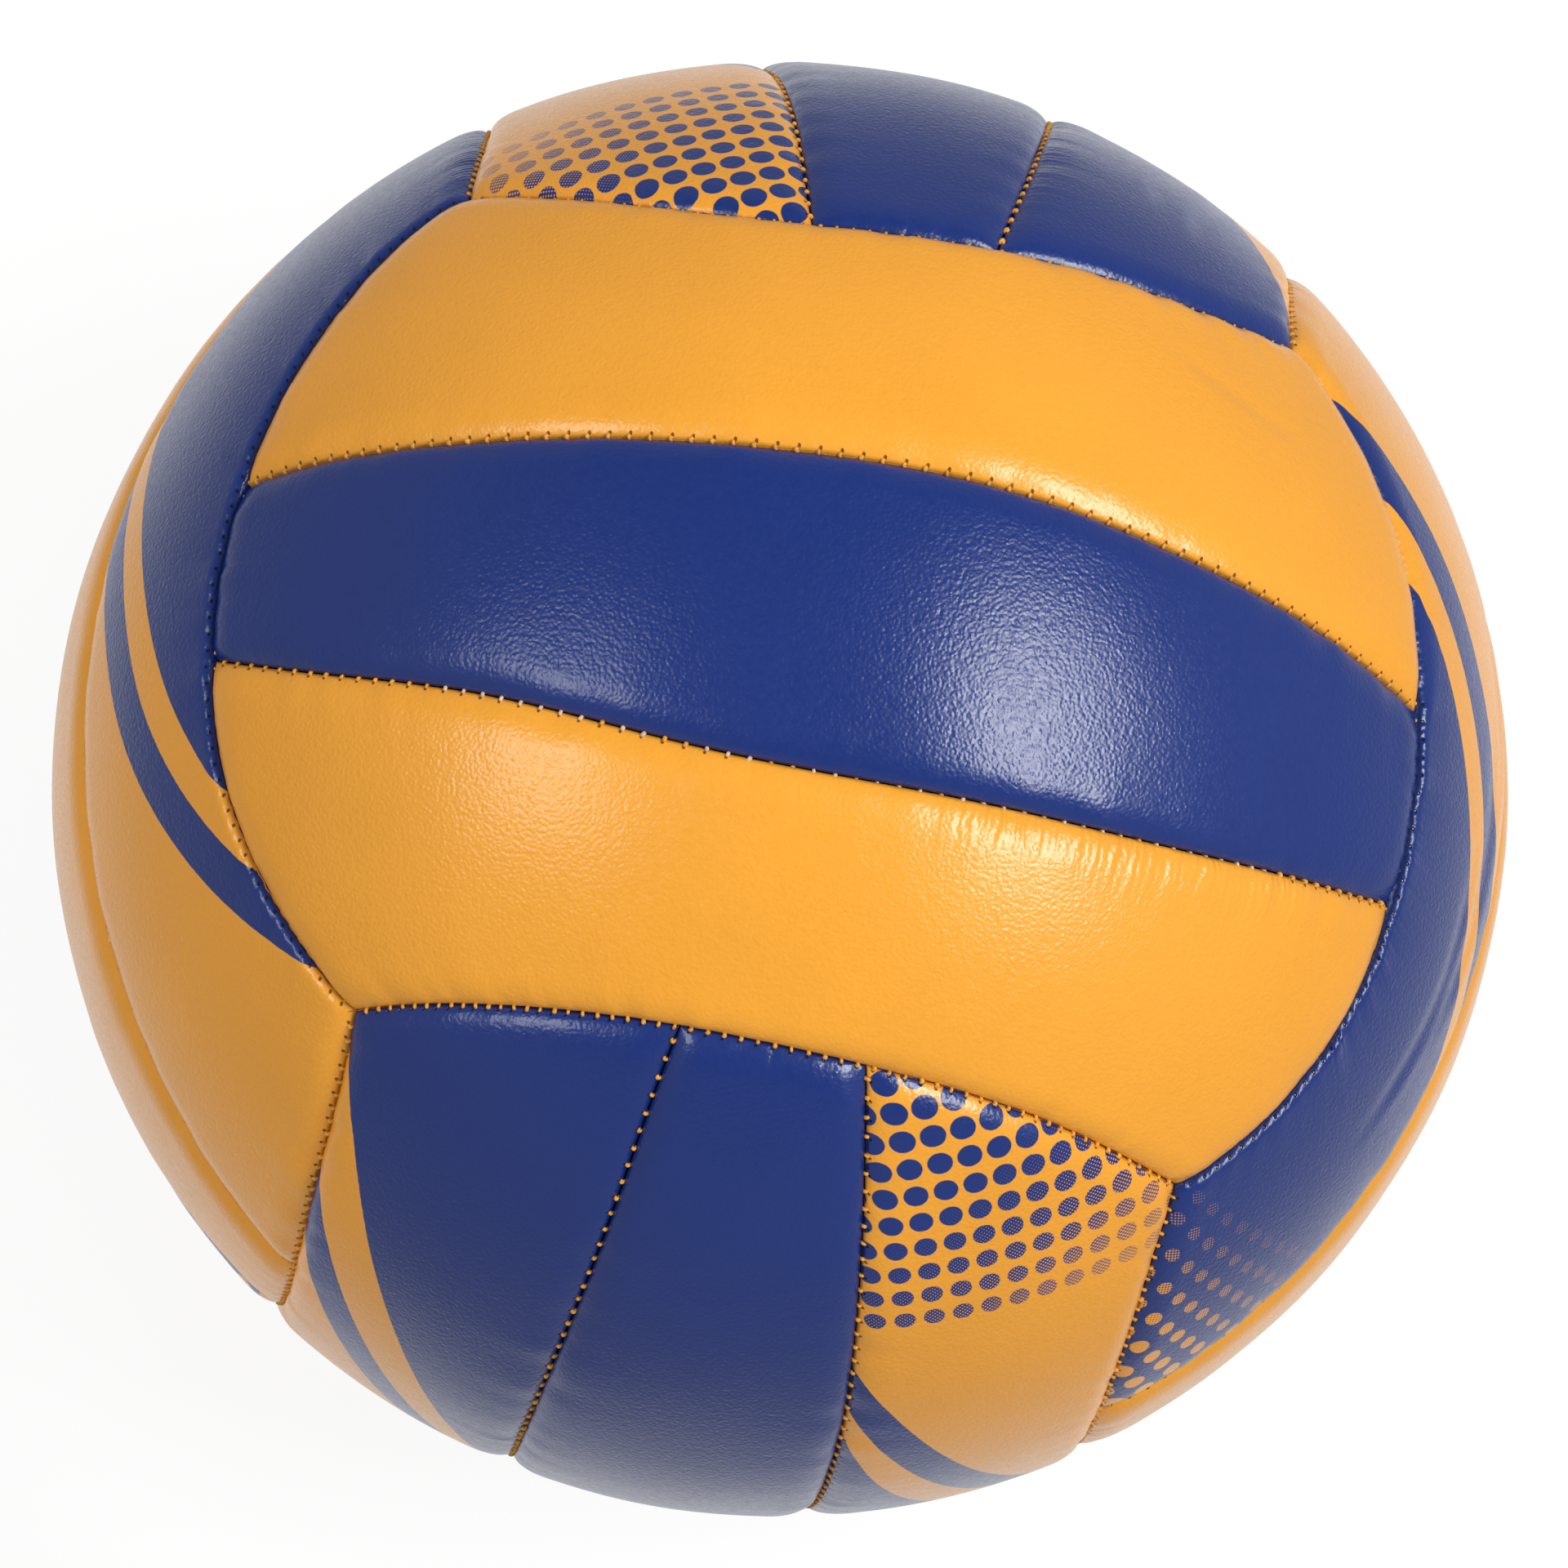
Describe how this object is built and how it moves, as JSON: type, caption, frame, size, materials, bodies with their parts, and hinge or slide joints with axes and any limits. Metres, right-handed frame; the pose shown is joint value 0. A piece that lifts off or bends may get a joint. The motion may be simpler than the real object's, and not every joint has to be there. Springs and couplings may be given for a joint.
{
  "type": "volleyball",
  "caption": "Inflated indoor volleyball of sewn padded panels in blue and orange over a rubber bladder with a needle valve.",
  "frame": {"origin": "middle of the ball", "axes": "+Z through the middle of the pictured face, up; +X along that face's strips; +Y through the valve"},
  "size_m": [0.21, 0.2098, 0.2095],
  "materials": {
    "skin_blue": "grained synthetic leather, satin",
    "skin_orange": "grained synthetic leather, satin",
    "foam_pad": "closed-cell foam with a cloth back",
    "sewing_thread": "twisted thread",
    "bladder_rubber": "moulded rubber, dusted",
    "patch_rubber": "moulded rubber, matt",
    "valve_rubber": "moulded rubber, matt",
    "core_rubber": "soft gum rubber"
  },
  "bodies": {
    "root": {"top_middle_cover": "skin_blue", "top_back_cover": "skin_orange", "top_front_cover": "skin_orange", "bottom_middle_cover": "skin_blue", "bottom_front_cover": "skin_orange", "bottom_back_cover": "skin_orange", "right_middle_cover": "skin_orange", "right_upper_cover": "skin_blue", "right_lower_cover": "skin_blue", "left_middle_cover": "skin_orange", "left_lower_cover": "skin_blue", "left_upper_cover": "skin_blue", "back_middle_cover": "skin_blue", "back_right_cover": "skin_orange", "back_left_cover": "skin_orange", "front_middle_cover": "skin_blue", "front_left_cover": "skin_orange", "front_right_cover": "skin_orange", "top_middle_pad": "foam_pad", "top_back_pad": "foam_pad", "top_front_pad": "foam_pad", "bottom_middle_pad": "foam_pad", "bottom_front_pad": "foam_pad", "bottom_back_pad": "foam_pad", "right_middle_pad": "foam_pad", "right_upper_pad": "foam_pad", "right_lower_pad": "foam_pad", "left_middle_pad": "foam_pad", "left_lower_pad": "foam_pad", "left_upper_pad": "foam_pad", "back_middle_pad": "foam_pad", "back_right_pad": "foam_pad", "back_left_pad": "foam_pad", "front_middle_pad": "foam_pad", "front_left_pad": "foam_pad", "front_right_pad": "foam_pad", "seam_thread": "sewing_thread", "bladder": "bladder_rubber", "bladder_patch": "patch_rubber", "valve_housing": "valve_rubber", "valve_core": "core_rubber"}
  },
  "joints": []
}
